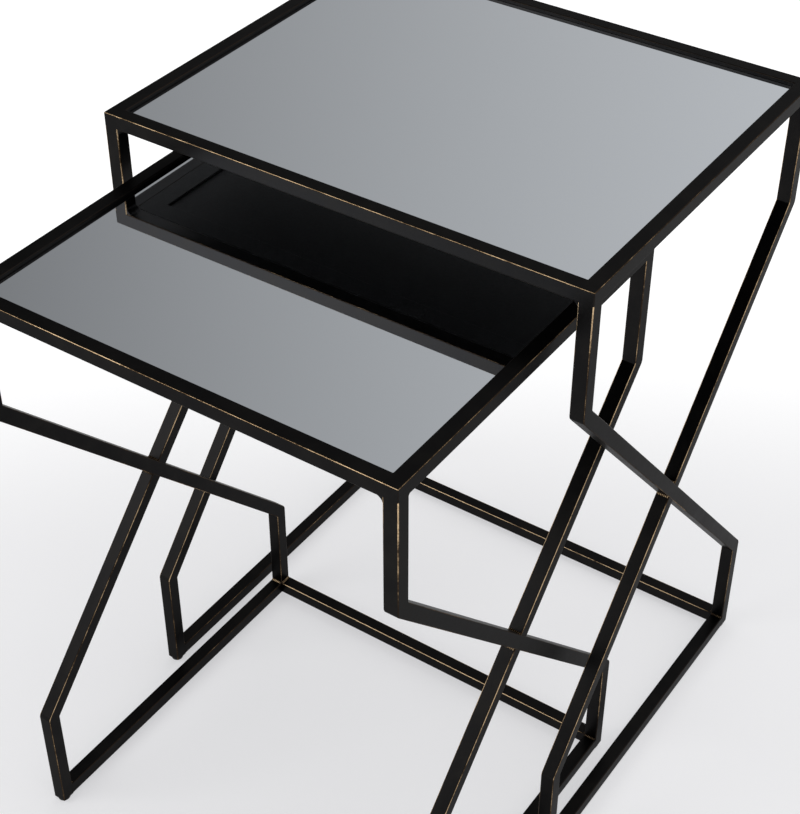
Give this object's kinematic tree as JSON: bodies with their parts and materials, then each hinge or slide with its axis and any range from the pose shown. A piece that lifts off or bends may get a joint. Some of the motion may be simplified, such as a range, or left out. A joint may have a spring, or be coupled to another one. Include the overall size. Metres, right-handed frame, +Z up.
{
  "type": "nesting tables",
  "caption": "Nest of welded square-tube side tables with X-shaped side frames and inset mirror tops; the smaller table slides out to the front from inside the larger one.",
  "frame": {"origin": "on the floor, under the middle of the box that holds both tables at rest", "axes": "+Z up; +X to the right along the tables' front rails; +Y from the front, where the small table comes out, to the back"},
  "size_m": [0.448, 0.566, 0.63],
  "materials": {
    "frame_metal": "satin near-black bronze paint, rubbed through to gold along the edges",
    "mirror_glass": "flat grey-tinted mirror",
    "backing_board": "black matte board",
    "glide_plastic": "black matte"
  },
  "bodies": {
    "large_table": {"large_back_ledge": "frame_metal", "large_back_left_glide": "glide_plastic", "large_back_right_glide": "glide_plastic", "large_back_stretcher": "frame_metal", "large_backing_board": "backing_board", "large_front_ledge": "frame_metal", "large_front_left_glide": "glide_plastic", "large_front_right_glide": "glide_plastic", "large_left_back_lower_post": "frame_metal", "large_left_back_upper_post": "frame_metal", "large_left_floor_rail": "frame_metal", "large_left_front_lower_post": "frame_metal", "large_left_front_upper_post": "frame_metal", "large_left_ledge": "frame_metal", "large_left_long_diagonal": "frame_metal", "large_left_lower_half_diagonal": "frame_metal", "large_left_upper_half_diagonal": "frame_metal", "large_mirror": "mirror_glass", "large_right_back_lower_post": "frame_metal", "large_right_back_upper_post": "frame_metal", "large_right_floor_rail": "frame_metal", "large_right_front_lower_post": "frame_metal", "large_right_front_upper_post": "frame_metal", "large_right_ledge": "frame_metal", "large_right_long_diagonal": "frame_metal", "large_right_lower_half_diagonal": "frame_metal", "large_right_upper_half_diagonal": "frame_metal", "large_top_back_rail": "frame_metal", "large_top_front_rail": "frame_metal", "large_top_left_rail": "frame_metal", "large_top_right_rail": "frame_metal"},
    "small_table": {"small_back_ledge": "frame_metal", "small_back_left_glide": "glide_plastic", "small_back_right_glide": "glide_plastic", "small_back_stretcher": "frame_metal", "small_backing_board": "backing_board", "small_front_ledge": "frame_metal", "small_front_left_glide": "glide_plastic", "small_front_right_glide": "glide_plastic", "small_left_back_lower_post": "frame_metal", "small_left_back_upper_post": "frame_metal", "small_left_floor_rail": "frame_metal", "small_left_front_lower_post": "frame_metal", "small_left_front_upper_post": "frame_metal", "small_left_long_diagonal": "frame_metal", "small_left_lower_half_diagonal": "frame_metal", "small_left_upper_half_diagonal": "frame_metal", "small_mirror": "mirror_glass", "small_right_back_lower_post": "frame_metal", "small_right_back_upper_post": "frame_metal", "small_right_floor_rail": "frame_metal", "small_right_front_lower_post": "frame_metal", "small_right_front_upper_post": "frame_metal", "small_right_long_diagonal": "frame_metal", "small_right_lower_half_diagonal": "frame_metal", "small_right_upper_half_diagonal": "frame_metal", "small_top_back_rail": "frame_metal", "small_top_front_rail": "frame_metal", "small_top_left_rail": "frame_metal", "small_top_right_rail": "frame_metal"}
  },
  "joints": [
    {"name": "small_table_slide", "type": "slide", "parent": "large_table", "child": "small_table", "axis": [0, 1, 0], "range_m": [-0.18, 0.198]}
  ]
}
